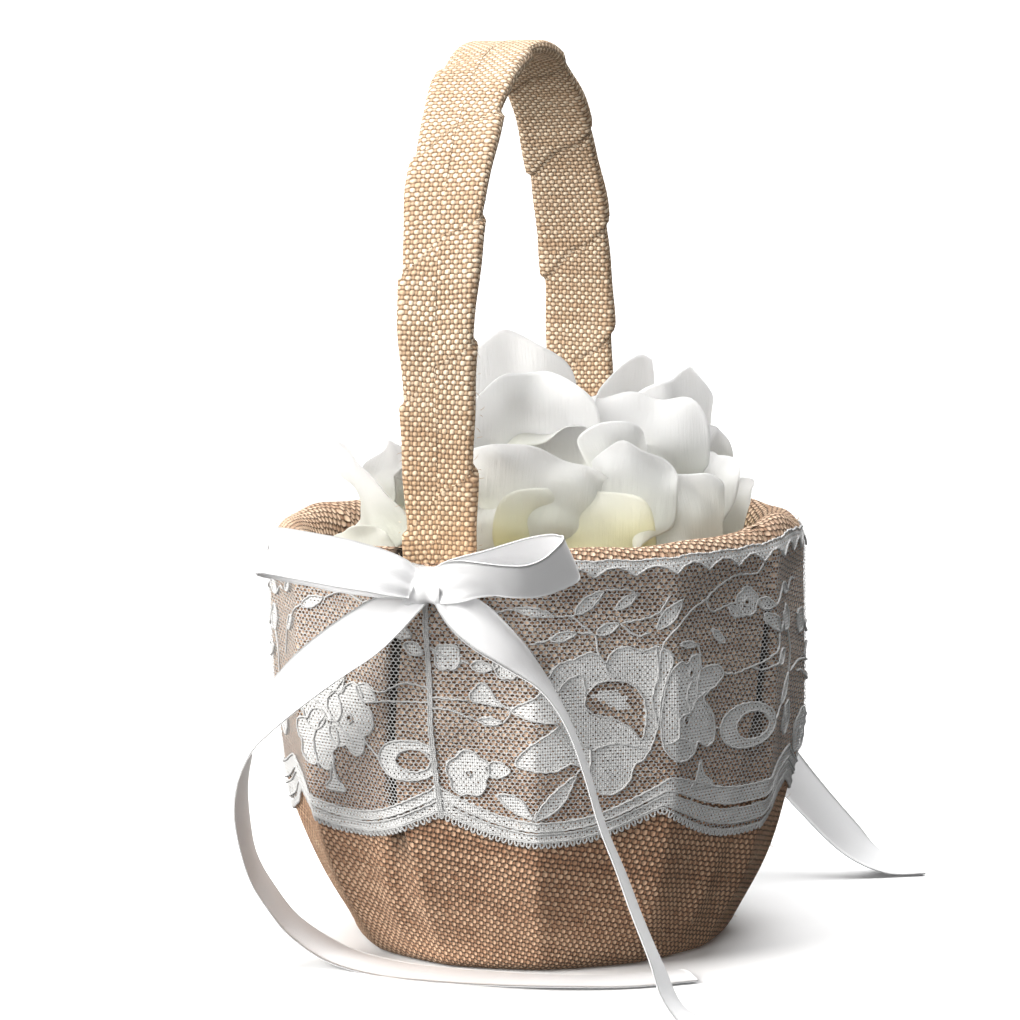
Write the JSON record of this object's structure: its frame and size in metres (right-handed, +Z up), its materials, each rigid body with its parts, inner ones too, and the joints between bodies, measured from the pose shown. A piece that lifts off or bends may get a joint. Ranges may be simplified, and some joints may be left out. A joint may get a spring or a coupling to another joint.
{
  "type": "flower girl basket",
  "caption": "Small round burlap-covered basket with an arched wrapped handle, a scalloped lace band, satin bows at the handle's feet and a heap of silk petals.",
  "frame": {"origin": "centre of the flat base, on the surface that the basket stands on", "axes": "+Z up; the handle arches over the bowl in the YZ plane; -Y is the side whose bow is the front one; +X is to its right"},
  "size_m": [0.1442, 0.1883, 0.2177],
  "materials": {
    "burlap": "coarse plain-woven jute, matt",
    "lace": "fine knitted net with dense floral motifs",
    "satin": "smooth white satin, soft sheen",
    "petal_silk": "thin translucent artificial silk",
    "bowl_board": "dark pressed board",
    "stake_wood": "plain split wood",
    "hoop_wire": "plain wire",
    "tack_steel": "plain steel"
  },
  "bodies": {
    "basket": {"core_shell": "bowl_board", "base_board": "bowl_board", "ridge_stakes": "stake_wood", "rim_hoop": "hoop_wire", "lining": "burlap", "burlap_cover": "burlap", "base_patch": "burlap", "handle_core": "stake_wood", "handle_wrap": "burlap", "handle_tacks": "tack_steel", "lace_band": "lace", "front_bow_knot": "satin", "front_bow_loop_left": "satin", "front_bow_loop_right": "satin", "front_tail_left": "satin", "front_tail_right": "satin", "back_bow_knot": "satin", "back_bow_loop_left": "satin", "back_bow_loop_right": "satin", "back_tail_left": "satin", "back_tail_right": "satin"},
    "petals": {"petal_01": "petal_silk", "petal_02": "petal_silk", "petal_03": "petal_silk", "petal_04": "petal_silk", "petal_05": "petal_silk", "petal_06": "petal_silk", "petal_07": "petal_silk", "petal_08": "petal_silk", "petal_09": "petal_silk", "petal_10": "petal_silk", "petal_11": "petal_silk", "petal_12": "petal_silk", "petal_13": "petal_silk", "petal_14": "petal_silk", "petal_15": "petal_silk", "petal_16": "petal_silk", "petal_17": "petal_silk", "petal_18": "petal_silk", "petal_19": "petal_silk", "petal_20": "petal_silk", "petal_21": "petal_silk", "petal_22": "petal_silk"}
  },
  "joints": [
    {"name": "petals_lift_out", "type": "slide", "parent": "basket", "child": "petals", "axis": [0.7071, 0, 0.7071], "range_m": [0, 0.15]}
  ]
}
